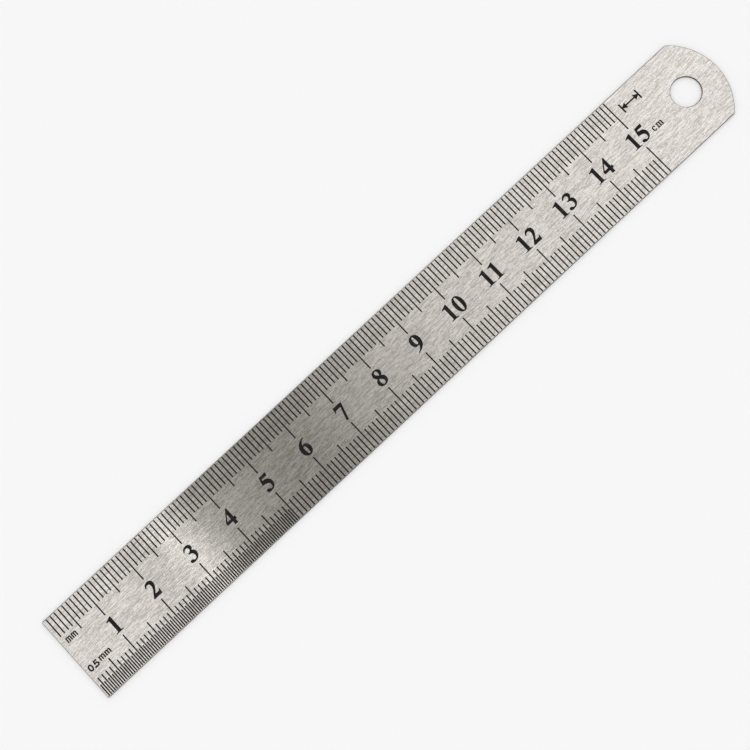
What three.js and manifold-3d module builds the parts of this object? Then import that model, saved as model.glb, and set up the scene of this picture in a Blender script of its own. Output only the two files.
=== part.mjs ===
// A stainless steel rule with 150 mm of etched graduations, filled with black ink.
// Millimetres. +X runs along the rule from the zero end to the hanging hole, +Y across it to the
// millimetre edge, +Z out of the graduated face. The origin is under the middle of the blade.

import * as THREE from "three";
import { mergeGeometries, mergeVertices } from "three/addons/utils/BufferGeometryUtils.js";
import Module from "manifold-3d";

const wasm = await Module();
wasm.setup();

// Blade: a stamped strip, square at the zero end and round at the other.
const bladeLength = 171.7;
const bladeWidth = 19.5;
const bladeThickness = 0.7;
const endRadius = 13.1; // more than half the width, so the round end meets the long edges at corners
const holeDiameter = 6.35;
const holeFromTip = 8.1; // from the hole's centre to the tip of the round end
const edgeBreak = 0.1; // the rounding that tumbling leaves along every edge

// Etching and ink: each mark is a shallow pocket with its own fill of ink.
const pocketDepth = 0.06;
const inkGap = 0.01; // between a fill and its pocket's walls and floor
const inkSink = 0.008; // from the blade's face down to the ink's surface

// Graduations: lengths are measured from the edge that the lines start at.
const scaleLength = 150;
const finestPitch = 0.5;
const halfScaleLength = 50; // the lower edge has half-millimetre lines up to here
const lineWidth = 0.27;
const lineInset = 0.15; // steel left between a line and its edge
const upperReach = { ten: 7.3, five: 6.0, one: 4.55 };
const lowerReach = { ten: 7.05, five: 5.65, one: 4.25, half: 2.9 };

// Numerals stand on one line across the middle of the blade.
const numeralHeight = 3.5;
const numeralBaseline = -1.86;
const numeralSpread = 0.04; // the ink's outline lies this far outside the drawn outline
const singleCentre = 0.06; // a single digit's centre, from its line
const firstDigitLeft = -2.02; // left sides of the two digits of 10 to 15, from their line
const secondDigitLeft = 0.28;

// Unit labels and the maker's-mark stand-in: left side, baseline, width and height.
const labelSpread = 0.02; // as numeralSpread, for the small letters
const upperLabel = { left: 1.28, pitch: 1.36, baseline: 3.28, width: 1.14, height: 1.07 };
const halfLabel = { left: 0.76, baseline: -3.9, height: 1.37, pointLeft: 1.97 };
const halfLabelLetters = { left: 3.62, pitch: 1.5, baseline: -3.58, width: 1.28, height: 0.95 };
const centimetreLabel = { left: 153.38, pitch: 1.12, baseline: -1.58, height: 1.07 };
const emblemCentre = new THREE.Vector2(154.25, 6.3);

const endSteps = 28;
const glyphSteps = 4;

// Outlines as type designers write them: M starts a loop, L draws lines, C draws curves through two
// handles, Z closes. The first loop is the outside and the others are holes. Heights are 0 to 100.
const digitOutlines = {
  0: `M 32 101 C 51 101 64 79 64 50 C 64 21 51 -1 32 -1 C 13 -1 0 21 0 50 C 0 79 13 101 32 101 Z
      M 32 95 C 41 95 43 80 43 50 C 43 20 41 5 32 5 C 23 5 21 20 21 50 C 21 80 23 95 32 95 Z`,
  1: `M 37 100 L 37 10 C 37 4 40 3 50 2 L 50 0 L 2 0 L 2 2 C 14 3 17 4 17 10 L 17 79
      C 17 84 14 85 0 84 L 0 87 L 33 100 Z`,
  2: `M 0 74 C 3 90 14 100 30 100 C 45 100 55 91 55 76 C 55 63 49 53 40 41 L 22 18 L 44 18
      C 51 18 53 20 55 27 L 59 27 L 56 0 L 0 0 L 0 3 L 17 26 C 29 42 36 55 36 69
      C 36 79 30 86 22 86 C 14 86 8 82 4 73 Z`,
  3: `M 4 78 C 8 92 19 100 33 100 C 48 100 58 93 58 82 C 58 73 53 67 45 61 C 57 57 63 49 63 38
      C 63 15 46 0 20 0 C 8 0 0 4 0 11 C 0 16 4 19 9 19 C 19 19 21 8 31 8 C 40 8 46 17 46 28
      C 46 43 36 51 20 52 L 20 56 C 34 58 41 65 41 75 C 41 83 36 88 28 88 C 20 88 13 84 8 77 Z`,
  4: `M 55 100 L 55 37 L 65 37 L 65 22 L 55 22 L 55 0 L 37 0 L 37 22 L 0 22 L 0 35 L 49 100 Z
      M 37 37 L 37 77 L 8 37 Z`,
  5: `M 60 100 L 56 83 L 20 83 L 17 73 C 45 72 61 58 61 38 C 61 14 45 0 22 0 C 8 0 0 4 0 11
      C 0 16 4 19 9 19 C 20 19 22 8 31 8 C 40 8 45 15 45 27 C 45 43 29 52 3 52 L 14 98 Z`,
  6: `M 60 100 L 60 97 C 42 92 31 79 27 61 C 31 64 35 66 41 66 C 55 66 64 53 64 34
      C 64 13 51 -1 33 -1 C 13 -1 0 15 0 40 C 0 71 23 96 60 100 Z
      M 24 50 C 24 24 26 5 34 5 C 42 5 43 20 43 33 C 43 49 40 58 33 58 C 28 58 25 55 24 50 Z`,
  7: "M 5 100 L 62 100 L 62 96 L 33 0 L 20 0 L 46 81 L 20 81 C 10 81 6 79 3 70 L 0 70 Z",
  8: `M 32 101 C 49 101 61 92 61 78 C 61 68 55 61 46 56 C 58 49 64 41 64 29 C 64 12 51 -1 31 -1
      C 12 -1 0 10 0 26 C 0 37 7 45 19 51 C 10 58 5 66 5 76 C 5 91 16 101 32 101 Z
      M 33 95 C 41 95 44 88 44 78 C 44 70 42 64 38 60 C 27 66 21 74 21 83 C 21 90 26 95 33 95 Z
      M 26 47 C 20 41 18 34 18 25 C 18 13 23 5 32 5 C 40 5 45 11 45 19 C 45 30 37 38 26 47 Z`,
  9: `M 4 0 L 4 3 C 22 8 33 21 37 39 C 33 36 29 34 23 34 C 9 34 0 47 0 66 C 0 87 13 101 31 101
      C 51 101 64 85 64 60 C 64 29 41 4 4 0 Z
      M 40 50 C 40 76 38 95 30 95 C 22 95 21 80 21 67 C 21 51 24 42 31 42 C 36 42 39 45 40 50 Z`,
};
const zeroOutline = `
  M 37 101 C 62 101 75 81 75 50 C 75 19 62 -1 37 -1 C 12 -1 0 19 0 50 C 0 81 12 101 37 101 Z
  M 37 82 C 25 82 20 72 20 50 C 20 28 25 18 37 18 C 50 18 55 28 55 50 C 55 72 50 82 37 82 Z`;
const pointFiveOutline = `
  M 0 -1 L 17 -1 L 17 7 C 23 1 32 -1 43 -1 C 70 -1 89 12 89 34 C 89 55 74 67 54 67
  C 49 67 44 66 40 65 L 42 83 L 82 83 L 82 101 L 24 101 L 18 46 L 32 41 C 37 46 43 48 50 48
  C 61 48 68 43 68 33 C 68 22 59 16 46 16 C 36 16 29 20 25 28 L 12 22 L 13 16 L 0 16 Z`;
const plainLetterM = `
  M 0 0 L 0 100 L 21 100 L 21 93 C 25 99 31 102 39 102 C 48 102 55 98 58 90
  C 63 98 70 102 80 102 C 97 102 106 92 106 74 L 106 0 L 85 0 L 85 68 C 85 79 81 84 74 84
  C 67 84 63 78 63 68 L 63 0 L 43 0 L 43 68 C 43 79 38 84 32 84 C 25 84 21 78 21 68 L 21 0 Z`;
const serifLetterC = `
  M 75 22 C 68 8 56 -2 40 -2 C 16 -2 0 18 0 48 C 0 82 20 102 45 102 C 62 102 74 93 74 81
  C 74 73 69 69 63 69 C 48 69 56 92 43 92 C 28 92 21 76 21 52 C 21 28 30 15 46 15
  C 57 15 65 20 71 28 Z`;
const serifLetterM = `
  M 0 0 L 0 6 L 10 9 L 10 82 L 0 86 L 0 93 L 32 102 L 32 91 C 38 98 46 102 55 102
  C 67 102 75 96 78 87 C 85 97 94 102 105 102 C 122 102 132 92 132 74 L 132 9 L 142 6 L 142 0
  L 100 0 L 100 6 L 110 9 L 110 70 C 110 80 105 85 96 85 C 87 85 82 78 82 66 L 82 9 L 92 6
  L 92 0 L 50 0 L 50 6 L 60 9 L 60 70 C 60 80 55 85 46 85 C 37 85 32 78 32 66 L 32 9 L 42 6
  L 42 0 Z`;
// A dimension arrow between two bars, in hundredths of a millimetre from its centre.
const emblemOutline = `
  M -235 -110 L -201 -110 L -201 -16 L -110 -64 L -110 -16 L 110 -16 L 110 -64 L 201 -16
  L 201 -110 L 235 -110 L 235 110 L 201 110 L 201 16 L 110 64 L 110 16 L -110 16 L -110 64
  L -201 16 L -201 110 L -235 110 Z`;

const steel = new THREE.MeshStandardMaterial({ color: 0xc9c8c4, roughness: 0.34, metalness: 1 });
const ink = new THREE.MeshStandardMaterial({ color: 0x161617, roughness: 0.6, metalness: 0 });

// Reads an outline into closed loops of points.
function loopsOf(outline, scaleX, scaleY) {
  const loops = [];
  for (const [, text] of outline.matchAll(/M([^Z]*)Z/g)) {
    const path = new THREE.Path();
    for (const [, command, numbers] of `M${text}`.matchAll(/([MLC])([^MLC]*)/g)) {
      const values = numbers.trim().split(/\s+/).map(Number);
      const scaled = values.map((value, i) => value * (i % 2 ? scaleY : scaleX));
      if (command === "M") path.moveTo(...scaled);
      if (command === "L") path.lineTo(...scaled);
      if (command === "C") path.bezierCurveTo(...scaled);
    }
    const points = path.getPoints(glyphSteps);
    const closes = points[0].distanceTo(points.at(-1)) < 1e-6;
    if (closes) points.pop();
    const isHole = loops.length > 0;
    if (THREE.ShapeUtils.isClockWise(points) !== isHole) points.reverse();
    loops.push(points);
  }
  return loops;
}

// Moves every side of a loop out by a distance: n1 and n2 are the sides' normals at a corner, and
// the corner moves by (n1 + n2) distance / (1 + n1.n2). A hole's loop winds the other way and shrinks.
function grown(points, distance) {
  const normal = (from, to) => new THREE.Vector2(to.y - from.y, from.x - to.x).normalize();
  return points.map((point, i) => {
    const before = normal(points.at(i - 1), point);
    const after = normal(point, points[(i + 1) % points.length]);
    const reach = distance / (1 + before.dot(after));
    return point.clone().addScaledVector(before.add(after), reach);
  });
}

function shapeOf([outside, ...holes]) {
  const shape = new THREE.Shape(outside);
  shape.holes = holes.map((hole) => new THREE.Path(hole));
  return shape;
}

function bareSolid(geometry) {
  const solid = geometry.index ? geometry.toNonIndexed() : geometry.clone();
  solid.deleteAttribute("normal");
  solid.deleteAttribute("uv");
  return solid;
}

function manifoldOf(geometry) {
  const merged = mergeVertices(bareSolid(geometry));
  const mesh = new wasm.Mesh({
    numProp: 3,
    vertProperties: merged.attributes.position.array,
    triVerts: new Uint32Array(merged.index.array),
  });
  return new wasm.Manifold(mesh);
}

function geometryOf(manifold) {
  const { vertProperties, triVerts } = manifold.getMesh();
  const geometry = new THREE.BufferGeometry();
  geometry.setAttribute("position", new THREE.BufferAttribute(vertProperties, 3));
  geometry.setIndex(new THREE.BufferAttribute(triVerts, 1));
  return geometry;
}

const inkThickness = pocketDepth - inkGap - inkSink;
const inkFloor = bladeThickness - pocketDepth + inkGap;
const cutterHeight = pocketDepth * 2;
const cutterFloor = bladeThickness - pocketDepth;

// A mark is where it stands on the rule, the solid that cuts its pocket, and its ink's solid.

// A mark with a drawn outline. Its ink is larger all round by the spread.
function outlineMark(name, outline, x, y, spread, scaleX, scaleY = scaleX) {
  const loops = loopsOf(outline, scaleX, scaleY).map((loop) => grown(loop, spread));
  const cutLoops = loops.map((loop) => grown(loop, inkGap));
  const settings = { bevelEnabled: false };
  const cutter = new THREE.ExtrudeGeometry(shapeOf(cutLoops), { depth: cutterHeight, ...settings });
  const fill = new THREE.ExtrudeGeometry(shapeOf(loops), { depth: inkThickness, ...settings });
  return { name, x, y, cutter, fill };
}

// A graduation line. side is +1 for lines from the upper edge and -1 for the lower edge.
function lineMark(name, x, side, reach) {
  const length = reach - lineInset;
  const centreY = side * (bladeWidth / 2 - lineInset - length / 2);
  const cutter = new THREE.BoxGeometry(lineWidth + 2 * inkGap, length + 2 * inkGap, cutterHeight);
  cutter.translate(0, 0, cutterHeight / 2);
  const fill = new THREE.BoxGeometry(lineWidth, length, inkThickness);
  fill.translate(0, 0, inkThickness / 2);
  return { name, x, y: centreY, cutter, fill };
}

function scaleMarks(edgeName, side, reach, finestUntil) {
  const marks = [];
  for (let step = 1; step * finestPitch <= scaleLength; step += 1) {
    const x = step * finestPitch;
    const isHalf = x % 1 !== 0;
    if (isHalf && x > finestUntil) continue;
    let length = reach.one;
    if (isHalf) length = reach.half;
    else if (x % 10 === 0) length = reach.ten;
    else if (x % 5 === 0) length = reach.five;
    marks.push(lineMark(`${edgeName}_line_${x}_mm`, x, side, length));
  }
  return marks;
}

function numeralMarks() {
  const scale = numeralHeight / 100;
  const marks = [];
  for (let value = 1; value * 10 <= scaleLength; value += 1) {
    const x = value * 10;
    const digits = [...String(value)];
    if (digits.length === 1) {
      const outline = digitOutlines[value];
      const [outside] = loopsOf(outline, scale, scale);
      const right = Math.max(...outside.map((point) => point.x));
      const left = x + singleCentre - right / 2;
      const name = `numeral_${value}`;
      marks.push(outlineMark(name, outline, left, numeralBaseline, numeralSpread, scale));
      continue;
    }
    const lefts = [firstDigitLeft, secondDigitLeft];
    digits.forEach((digit, i) => {
      const name = `numeral_${value}_${i === 0 ? "tens" : "units"}_digit`;
      const outline = digitOutlines[digit];
      marks.push(outlineMark(name, outline, x + lefts[i], numeralBaseline, numeralSpread, scale));
    });
  }
  return marks;
}

function labelLetter(name, outline, x, baseline, scaleX, scaleY = scaleX) {
  return outlineMark(name, outline, x, baseline, labelSpread, scaleX, scaleY);
}

function letterPair(name, label) {
  const plainWidth = 106;
  return [1, 2].map((letter) => {
    const x = label.left + (letter - 1) * label.pitch;
    const scaleX = label.width / plainWidth;
    const scaleY = label.height / 100;
    return labelLetter(`${name}_letter_${letter}`, plainLetterM, x, label.baseline, scaleX, scaleY);
  });
}

function labelMarks() {
  const { left: zeroLeft, pointLeft, baseline: halfBaseline } = halfLabel;
  const halfScale = halfLabel.height / 100;
  const { left, pitch, baseline } = centimetreLabel;
  const smallScale = centimetreLabel.height / 100;
  return [
    ...letterPair("mm_label", upperLabel),
    labelLetter("half_mm_label_zero", zeroOutline, zeroLeft, halfBaseline, halfScale),
    labelLetter("half_mm_label_point_five", pointFiveOutline, pointLeft, halfBaseline, halfScale),
    ...letterPair("half_mm_label", halfLabelLetters),
    labelLetter("cm_label_letter_1", serifLetterC, left, baseline, smallScale),
    labelLetter("cm_label_letter_2", serifLetterM, left + pitch, baseline, smallScale),
  ];
}

function emblemMark() {
  return outlineMark("emblem", emblemOutline, emblemCentre.x, emblemCentre.y, 0, 0.01);
}

// The blank: an outline with a round end and a round hole, its edges rounded on both faces.
function bladeBlank() {
  const cornerAngle = Math.asin(bladeWidth / 2 / endRadius);
  const outline = new THREE.Shape();
  outline.moveTo(0, bladeWidth / 2);
  outline.lineTo(0, -bladeWidth / 2);
  outline.absarc(bladeLength - endRadius, 0, endRadius, -cornerAngle, cornerAngle, false);
  const hole = new THREE.Path();
  hole.absarc(bladeLength - holeFromTip, 0, holeDiameter / 2, 0, 2 * Math.PI, true);
  outline.holes.push(hole);
  const blank = new THREE.ExtrudeGeometry(outline, {
    depth: bladeThickness - 2 * edgeBreak,
    curveSegments: endSteps,
    bevelThickness: edgeBreak,
    bevelSize: edgeBreak,
    bevelOffset: -edgeBreak,
    bevelSegments: 2,
  });
  return blank.translate(0, 0, edgeBreak);
}

function bladeMesh(marks) {
  const cutters = marks.map(({ x, y, cutter }) =>
    bareSolid(cutter.clone().translate(x, y, cutterFloor)),
  );
  const etched = manifoldOf(bladeBlank()).subtract(manifoldOf(mergeGeometries(cutters)));
  const mesh = new THREE.Mesh(geometryOf(etched), steel);
  mesh.name = "blade";
  return mesh;
}

function inkMesh({ name, x, y, fill }) {
  const mesh = new THREE.Mesh(fill, ink);
  mesh.name = name;
  mesh.position.set(x, y, inkFloor);
  return mesh;
}

const upperScale = scaleMarks("upper", 1, upperReach, 0);
const lowerScale = scaleMarks("lower", -1, lowerReach, halfScaleLength);
const centimetreLines = [...upperScale, ...lowerScale].filter(({ x }) => x % 10 === 0);
const characters = [...numeralMarks(), ...labelMarks()];

const ruler = new THREE.Group();
const fromZeroEnd = new THREE.Group(); // x counts from the zero end in here
fromZeroEnd.position.x = -bladeLength / 2;
ruler.add(fromZeroEnd);
fromZeroEnd.add(bladeMesh([...upperScale, ...lowerScale, ...characters, emblemMark()]));
for (const inked of [...characters, ...centimetreLines]) fromZeroEnd.add(inkMesh(inked));

export default ruler;
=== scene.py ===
import math

import bpy
import numpy as np
from mathutils import Matrix, Vector


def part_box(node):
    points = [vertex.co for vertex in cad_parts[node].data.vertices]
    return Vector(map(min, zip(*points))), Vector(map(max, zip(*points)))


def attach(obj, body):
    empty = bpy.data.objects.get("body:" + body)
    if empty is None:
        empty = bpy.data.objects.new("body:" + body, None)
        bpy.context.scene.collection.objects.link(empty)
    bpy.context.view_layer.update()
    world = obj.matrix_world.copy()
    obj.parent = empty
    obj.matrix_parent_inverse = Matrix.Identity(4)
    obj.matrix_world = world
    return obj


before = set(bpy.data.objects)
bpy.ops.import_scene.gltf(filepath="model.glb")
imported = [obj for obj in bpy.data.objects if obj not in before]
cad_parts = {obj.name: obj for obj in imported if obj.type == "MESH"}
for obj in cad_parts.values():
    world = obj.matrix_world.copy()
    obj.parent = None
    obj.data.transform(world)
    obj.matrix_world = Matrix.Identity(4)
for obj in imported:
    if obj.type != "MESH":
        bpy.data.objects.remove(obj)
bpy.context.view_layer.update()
mm = 0.001
print("frame loaded:", len(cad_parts), "nodes")

bladeLow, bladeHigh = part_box("blade")
faceZ = bladeHigh[2]  # the graduated face
zeroX = bladeLow[0]  # the zero end, where both scales start


class Wire:  # a value on its way through a shader; arithmetic on it adds Math nodes
    def __init__(self, graph, socket):
        self.graph = graph
        self.socket = socket

    def math(self, operation, *values):
        settings = {"operation": operation}
        return self.graph.add("ShaderNodeMath", settings, dict(enumerate(values)))

    def __add__(self, other):
        return self.math("ADD", self, other)

    def __sub__(self, other):
        return self.math("SUBTRACT", self, other)

    def __rsub__(self, other):
        return self.math("SUBTRACT", other, self)

    def __mul__(self, other):
        return self.math("MULTIPLY", self, other)

    def __truediv__(self, other):
        return self.math("DIVIDE", self, other)

    __radd__ = __add__
    __rmul__ = __mul__

    def ramp(self, low, high):  # 0 below low, 1 above high, smooth between
        settings = {"interpolation_type": "SMOOTHSTEP"}
        return self.graph.add("ShaderNodeMapRange", settings, {0: self, 1: low, 2: high})


class Graph:  # a node tree that starts empty
    def __init__(self, tree):
        self.tree = tree
        tree.nodes.clear()

    # Adds a node of a type: its settings first, then its sockets' values or links.
    # Gives back the named output as a wire.
    def add(self, kind, settings=None, sockets=None, output=0):
        node = self.tree.nodes.new(kind)
        for name, value in (settings or {}).items():
            if name == "stops":
                self.setStops(node.color_ramp, value)
            else:
                setattr(node, name, value)
        for name, value in (sockets or {}).items():
            if isinstance(value, Wire):
                self.tree.links.new(value.socket, node.inputs[name])
            else:
                node.inputs[name].default_value = value
        return Wire(self, node.outputs[output]) if node.outputs else node

    def setStops(self, colorRamp, stops):
        elements = colorRamp.elements
        while len(elements) < len(stops):
            elements.new(0.5)
        for element, (position, colour) in zip(elements, stops):
            element.position = position
            element.color = (*colour, 1)

    def mix(self, factor, first, second):  # colours: first where factor is 0, second where it is 1
        sockets = {0: factor}
        for name, colour in ((6, first), (7, second)):
            sockets[name] = colour if isinstance(colour, Wire) else (*colour, 1)
        return self.add("ShaderNodeMix", {"data_type": "RGBA"}, sockets, 2)

    def split(self, vector):  # the three parts of a vector
        node = self.tree.nodes.new("ShaderNodeSeparateXYZ")
        self.tree.links.new(vector.socket, node.inputs[0])
        return [Wire(self, output) for output in node.outputs]


def newMaterial(name):
    material = bpy.data.materials.new(name)
    material.use_nodes = True
    return material, Graph(material.node_tree)


def finishMaterial(graph, sockets):
    shader = graph.add("ShaderNodeBsdfPrincipled", None, sockets)
    graph.add("ShaderNodeOutputMaterial", None, {"Surface": shader})


steelLook = dict(
    bright=(0.95, 0.902, 0.852),
    dull=(0.53, 0.498, 0.465),
    shearedAndShaded=(0.14, 0.137, 0.13),  # the cut walls round the blade and in the hole: partly the darker, rougher sheared steel, partly painted shade that draws a dark line along the edges
    contrast=1.9,  # of the brushing marks
    cloudScale=60.0,
    cloudiness=0.15,  # how much the clouds, the bright and dark marks and the flecks add
    markStrength=0.35,
    fleckStrength=0.55,
    roughness=(0.035, 0.07),
    wallRoughness=0.5,
    # brushing marks: the turn from the blade's length in degrees, then length and width in mm
    dashes=[(-6, 1.5, 0.10), (3, 1.9, 0.09), (11, 1.2, 0.11)],
    glints=(6, 1.6, 0.10),
    nicks=(0, 1.4, 0.10),
    rarity=(0.88, 0.9),  # only the cells above this shade become bright or dark marks
    flecks=[(-20, 0.30, 0.13), (30, 0.26, 0.14)],
    grooves=[(-1, 3.0, 0.14), (3, 2.6, 0.17)],
    grooveDepth=0.0025 * mm,
    layerShift=(13.7 * mm, 5.3 * mm),  # how far the pattern moves along and across between layers
    glintLayer=7,  # each kind of mark starts at a layer of its own
    nickLayer=9,
    fleckLayer=11,
    rimDepth=0.006 * mm,  # this far from each face the bright finish gives way to the walls' colour, darkened partly as painted shade
)


# Coordinates on which a mark, turned and of its length and width, measures 1 by 1.
def brushed(graph, place, mark, layer):
    turn, length, width = mark
    along, across = steelLook["layerShift"]
    sockets = {
        "Vector": place,
        "Location": (layer * along, layer * across, 0),
        "Rotation": (0, 0, math.radians(turn)),
        "Scale": (length * mm, width * mm, width * mm),
    }
    return graph.add("ShaderNodeMapping", {"vector_type": "TEXTURE"}, sockets)


def dashes(graph, place, mark, layer):  # every cell is a short straight dash of one random shade
    cells = {"Vector": brushed(graph, place, mark, layer), "Scale": 1.0}
    colour = graph.add("ShaderNodeTexVoronoi", {"voronoi_dimensions": "2D"}, cells, "Color")
    return graph.split(colour)[0]


def grooves(graph, place, mark, layer):  # soft furrows
    sockets = {"Vector": brushed(graph, place, mark, layer), "Scale": 1.0, "Detail": 1.0}
    return graph.add("ShaderNodeTexNoise", {"noise_dimensions": "2D"}, sockets)


# The tone between dull and bright: the middle, with each kind of mark's lighter and darker cells.
def brushedTone(graph, place, shade):
    glints = dashes(graph, place, steelLook["glints"], steelLook["glintLayer"])
    nicks = dashes(graph, place, steelLook["nicks"], steelLook["nickLayer"])
    marks = glints.ramp(*steelLook["rarity"]) - nicks.ramp(*steelLook["rarity"])
    flecks = [
        dashes(graph, place, mark, layer) - 0.5
        for layer, mark in enumerate(steelLook["flecks"], steelLook["fleckLayer"])
    ]
    noise = {"Vector": place, "Scale": steelLook["cloudScale"], "Detail": 3.0}
    cloud = graph.add("ShaderNodeTexNoise", None, noise)
    tone = (shade - 0.5) * steelLook["contrast"] + 0.5 + (cloud - 0.5) * steelLook["cloudiness"]
    return tone + marks * steelLook["markStrength"] + sum(flecks) * steelLook["fleckStrength"]


def brushedSteel():
    material, graph = newMaterial("brushedSteel")
    place = graph.add("ShaderNodeTexCoord", None, None, "Object")
    layers = [dashes(graph, place, mark, i) for i, mark in enumerate(steelLook["dashes"])]
    shade = sum(layers) * (1 / len(layers))
    tone = brushedTone(graph, place, shade)
    z = graph.split(place)[2]
    # the bevels, walls and recess floors between the two faces take the dark sheared colour: rougher
    # sheared steel, and painted shade for the dark line along the edges
    belowFace = 1 - z.ramp(faceZ - steelLook["rimDepth"], faceZ)
    shearedAndShadedWall = belowFace * z.ramp(0, steelLook["rimDepth"])
    flat = graph.mix(tone, steelLook["dull"], steelLook["bright"])
    colour = graph.mix(shearedAndShadedWall, flat, steelLook["shearedAndShaded"])
    smooth, rough = steelLook["roughness"]
    roughness = shade * (rough - smooth) + smooth + shearedAndShadedWall * steelLook["wallRoughness"]
    furrows = [grooves(graph, place, mark, i) for i, mark in enumerate(steelLook["grooves"])]
    relief = {"Height": sum(furrows), "Strength": 1.0, "Distance": steelLook["grooveDepth"]}
    bump = graph.add("ShaderNodeBump", None, relief)
    sockets = {"Base Color": colour, "Metallic": 1.0, "Roughness": roughness, "Normal": bump}
    finishMaterial(graph, sockets)
    return material


inkLook = dict(
    fresh=(0.006, 0.006, 0.0065),
    worn=(0.02, 0.0195, 0.019),
    wearScale=900.0,
    wear=(0.5, 0.75),  # the ink is fresh below the first shade of the noise, and worn above the second
    grainScale=6000.0,
    grainDepth=0.004 * mm,
    grainStrength=0.6,
    roughness=0.5,
    grainRoughness=0.2,
    gloss=0.15,
)


def markingInk():
    material, graph = newMaterial("markingInk")
    place = graph.add("ShaderNodeTexCoord", None, None, "Object")
    fine = {"Vector": place, "Scale": inkLook["grainScale"], "Detail": 2.0}
    broad = {"Vector": place, "Scale": inkLook["wearScale"], "Detail": 2.0}
    grain = graph.add("ShaderNodeTexNoise", None, fine)
    wear = graph.add("ShaderNodeTexNoise", None, broad).ramp(*inkLook["wear"])
    relief = {
        "Height": grain,
        "Strength": inkLook["grainStrength"],
        "Distance": inkLook["grainDepth"],
    }
    sockets = {
        "Base Color": graph.mix(wear, inkLook["fresh"], inkLook["worn"]),
        "Roughness": grain * inkLook["grainRoughness"] + inkLook["roughness"],
        "Specular IOR Level": inkLook["gloss"],
        "Normal": graph.add("ShaderNodeBump", None, relief),
    }
    finishMaterial(graph, sockets)
    return material


steel = brushedSteel()
ink = markingInk()
for nodeName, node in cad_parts.items():
    node.data.materials.clear()
    node.data.materials.append(steel if nodeName == "blade" else ink)
print("steel and ink made")


def inkPiece(name, vertices, faces):
    mesh = bpy.data.meshes.new(name)
    mesh.from_pydata(vertices.tolist(), [], faces)
    mesh.update()
    piece = bpy.data.objects.new(name, mesh)
    bpy.context.scene.collection.objects.link(piece)
    mesh.materials.append(ink)
    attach(piece, "root")


# the fine graduations stand between the centimetre lines and are as wide and as deep as those
upperLow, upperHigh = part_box("upper_line_10_mm")
lowerLow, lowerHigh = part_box("lower_line_10_mm")

graduations = dict(
    upperFive=6.0 * mm,  # each kind's reach, from the edge that it starts at
    upperOne=4.55 * mm,
    lowerFive=5.65 * mm,
    lowerOne=4.25 * mm,
    lowerHalf=2.9 * mm,
    scaleLength=150,
    halfScaleLength=50,
    sag=0.006 * mm,  # how far the ink's surface dips in the middle of a line
    sagBeside=0.7,  # the share of that dip a quarter of the width to either side
)


# Every line is one loop of seven points across its width, carried from its outer to its inner end.
# The loop's bottom is flat, and its top dips by the sag in the middle and by less to either side.
# The millimetre places times mm, from the zero end, shift that one line along the scale.
def lineInk(name, places, side, reach):
    halfWidth = (upperHigh[0] - upperLow[0]) / 2
    bottom, top = upperLow[2], upperHigh[2]
    beside = graduations["sagBeside"]
    across = np.array([-1, -0.5, 0, 0.5, 1, 1, -1]) * halfWidth
    height = np.array([top, top, top, top, top, bottom, bottom])
    height[1:4] -= graduations["sag"] * np.array([beside, 1, beside])
    outer = upperHigh[1] if side > 0 else lowerLow[1]
    inner = side * (bladeHigh[1] - reach)
    around = np.arange(7)
    loop = np.stack([across, np.zeros(7), height], axis=1)
    ends = np.concatenate([loop + (0, outer, 0), loop + (0, inner, 0)])
    vertices = np.repeat(ends[None], len(places), axis=0)
    vertices[:, :, 0] += np.asarray(places)[:, None] * mm + zeroX
    following = (around + 1) % 7
    walls = np.stack([around, following, following + 7, around + 7], axis=1)
    rings = [around, around[::-1] + 7]
    if side > 0:
        walls = walls[:, ::-1]
    else:
        rings = [ring[::-1] for ring in rings]
    starts = 14 * np.arange(len(places))
    faces = (walls[None] + starts[:, None, None]).reshape(-1, 4).tolist()
    for ring in rings:
        faces += (ring[None] + starts[:, None]).tolist()
    inkPiece(name, vertices.reshape(-1, 3), faces)


millimetres = np.arange(1, graduations["scaleLength"])
ones = millimetres[millimetres % 5 != 0]
fives = millimetres[millimetres % 10 == 5]
halves = np.arange(0.5, graduations["halfScaleLength"], 1.0)

lineInk("upper_1_mm_lines", ones, 1, graduations["upperOne"])
lineInk("upper_5_mm_lines", fives, 1, graduations["upperFive"])
lineInk("lower_1_mm_lines", ones, -1, graduations["lowerOne"])
lineInk("lower_5_mm_lines", fives, -1, graduations["lowerFive"])
lineInk("lower_half_mm_lines", halves, -1, graduations["lowerHalf"])

emblem = dict(
    centre=(154.25, 6.3),  # mm from the zero end and from the middle of the blade
    # the upper right quarter of a dimension arrow between two bars, in mm from its centre
    quarter=[(2.35, 1.1), (2.01, 1.1), (2.01, 0.16), (1.1, 0.64), (1.1, 0.16)],
)


# The quarter's outline is mirrored to the left, and that half is turned round for the lower half.
def emblemInk():
    quarter = np.array(emblem["quarter"])
    upper = np.concatenate([quarter, (quarter * (-1, 1))[::-1]])
    outline = np.concatenate([upper, -upper])
    place = (outline + emblem["centre"]) * mm + (zeroX, 0)
    count = len(place)
    bottom = np.column_stack([place, np.full(count, upperLow[2])])
    top = np.column_stack([place, np.full(count, upperHigh[2])])
    ring = np.arange(count)
    following = (ring + 1) % count
    faces = np.stack([ring, following, following + count, ring + count], axis=1).tolist()
    faces += [ring[::-1].tolist(), (ring + count).tolist()]
    inkPiece("emblem_dimension_arrow", np.concatenate([bottom, top]), faces)


emblemInk()
print("ink of the fine graduations and the emblem made")

floorLook = dict(
    size=2.4,
    drop=0.005 * mm,  # keeps the floor's surface off the blade's underside
    colour=(0.93, 0.93, 0.935),
    roughness=0.9,
    gloss=0.1,
)


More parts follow.
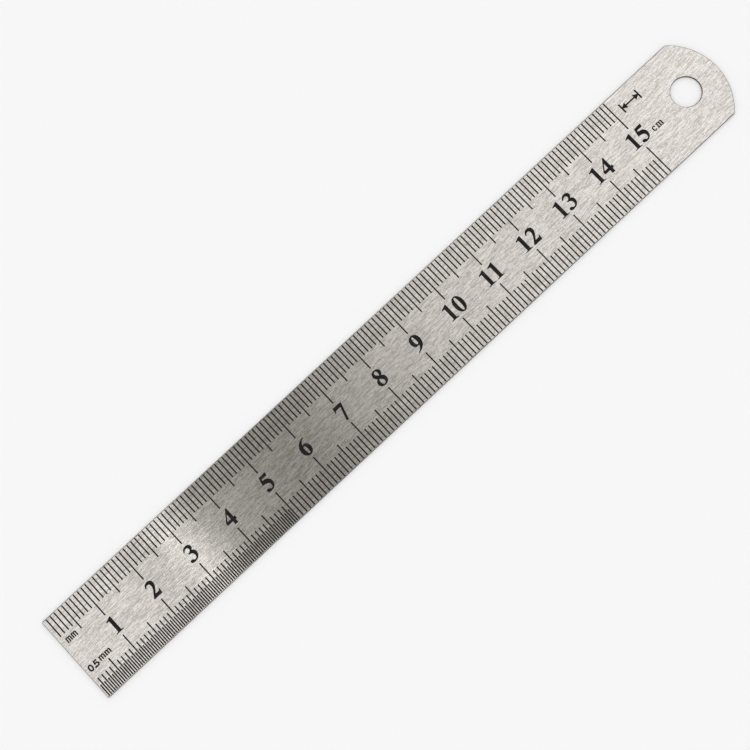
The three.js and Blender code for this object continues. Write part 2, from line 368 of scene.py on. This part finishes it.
def paleFloor():
    mesh = bpy.data.meshes.new("floor")
    half = floorLook["size"] / 2
    z = -floorLook["drop"]
    corners = [(-half, -half, z), (half, -half, z), (half, half, z), (-half, half, z)]
    mesh.from_pydata(corners, [], [(0, 1, 2, 3)])
    floor = bpy.data.objects.new("floor", mesh)
    bpy.context.scene.collection.objects.link(floor)
    material, graph = newMaterial("palePaper")
    sockets = {
        "Base Color": (*floorLook["colour"], 1),
        "Roughness": floorLook["roughness"],
        "Specular IOR Level": floorLook["gloss"],
    }
    finishMaterial(graph, sockets)
    mesh.materials.append(material)


skyLook = dict(
    strength=1.0,
    # A white ceiling with a dark stretch over the middle of the rule and a narrow lamp beside it.
    # Each stop is how far a direction leans along the rule (its x over its z), and the brightness.
    bands=[(-0.30, 0.90), (-0.082, 0.87), (-0.066, 0.46), (-0.060, 1.45), (-0.054, 1.45),
           (-0.049, 0.46), (-0.030, 0.44), (0.000, 0.33), (0.030, 0.32), (0.075, 0.51),
           (0.115, 0.70), (0.19, 0.84), (0.25, 0.89), (0.29, 0.97)],
    warmth=0.06,  # how much less blue there is where the ceiling is dark
    leanRange=0.5,  # the ends of the bands, on either side of upright
    lowestUp=0.02,  # a direction's lean is measured as if it rose at least this much
    skew=0.12,  # how far the bands turn from straight across the rule
    skewCentre=0.153,  # the lean across the rule where the turn makes no difference
    fade=(0.5, 1.2),  # the bands fade out this far across the rule (y over z)
    outside=0.8,
    horizon=0.45,  # what the sky drops to, from highUp down to lowDown (heights of a direction)
    lowDown=0.3,
    highUp=0.9,
)


def studioSky():
    world = bpy.data.worlds.new("studioSky")
    bpy.context.scene.world = world
    world.use_nodes = True
    graph = Graph(world.node_tree)
    x, y, z = graph.split(graph.add("ShaderNodeTexCoord", None, None, "Generated"))
    above = z.math("MAXIMUM", z, skyLook["lowestUp"])
    across = y / above
    lean = x / above + (across - skyLook["skewCentre"]) * skyLook["skew"]
    span = skyLook["leanRange"]
    stops = []
    for stop, level in skyLook["bands"]:
        blue = level * (1 - skyLook["warmth"] * max(0, 1 - level))
        stops.append(((stop + span) / (2 * span), (level, level, blue)))
    banded = graph.add("ShaderNodeValToRGB", {"stops": stops}, {0: (lean + span) / (2 * span)})
    distance = across.math("ABSOLUTE", across)
    ceiling = graph.mix(distance.ramp(*skyLook["fade"]), banded, (skyLook["outside"],) * 3)
    up = z.ramp(skyLook["lowDown"], skyLook["highUp"])
    colour = graph.mix(up, (skyLook["horizon"],) * 3, ceiling)
    sky = {"Color": colour, "Strength": skyLook["strength"]}
    background = graph.add("ShaderNodeBackground", None, sky)
    graph.add("ShaderNodeOutputWorld", None, {"Surface": background})


keyLight = dict(
    lean=(-0.06, -0.36),  # along and across the rule, for each unit up
    width=11,  # in degrees
    strength=1.02,
)


def softKey():
    light = bpy.data.lights.new("softKey", "SUN")
    light.angle = math.radians(keyLight["width"])
    light.energy = keyLight["strength"]
    lamp = bpy.data.objects.new("softKey", light)
    lamp.rotation_euler = Vector((*keyLight["lean"], 1)).to_track_quat("Z", "Y").to_euler()
    bpy.context.scene.collection.objects.link(lamp)


cameraView = dict(
    azimuth=-26.8,  # degrees round from the lower edge's side
    elevation=80.1,
    distance=372.4 * mm,
    aim=(-6.1 * mm, 0.9 * mm),  # on the graduated face
    ruleSlope=42.92,  # the rule's angle across the view
    lens=91.5,
)


def placeCamera():
    azimuth = math.radians(cameraView["azimuth"])
    elevation = math.radians(cameraView["elevation"])
    flat = math.cos(elevation)
    back = Vector((math.sin(azimuth) * flat, -math.cos(azimuth) * flat, math.sin(elevation)))
    along = (Vector((1, 0, 0)) - back * back.x).normalized()
    across = back.cross(along)
    slope = math.radians(cameraView["ruleSlope"])
    right = along * math.cos(slope) - across * math.sin(slope)
    up = along * math.sin(slope) + across * math.cos(slope)
    turn = Matrix((right, up, back)).transposed()
    data = bpy.data.cameras.new("camera")
    data.lens = cameraView["lens"]
    camera = bpy.data.objects.new("camera", data)
    camera.location = Vector((*cameraView["aim"], faceZ)) + back * cameraView["distance"]
    camera.rotation_euler = turn.to_euler()
    bpy.context.scene.collection.objects.link(camera)
    bpy.context.scene.camera = camera


paleFloor()
studioSky()
softKey()
placeCamera()
bpy.context.scene.view_settings.view_transform = "Standard"
print("floor, light and camera placed")
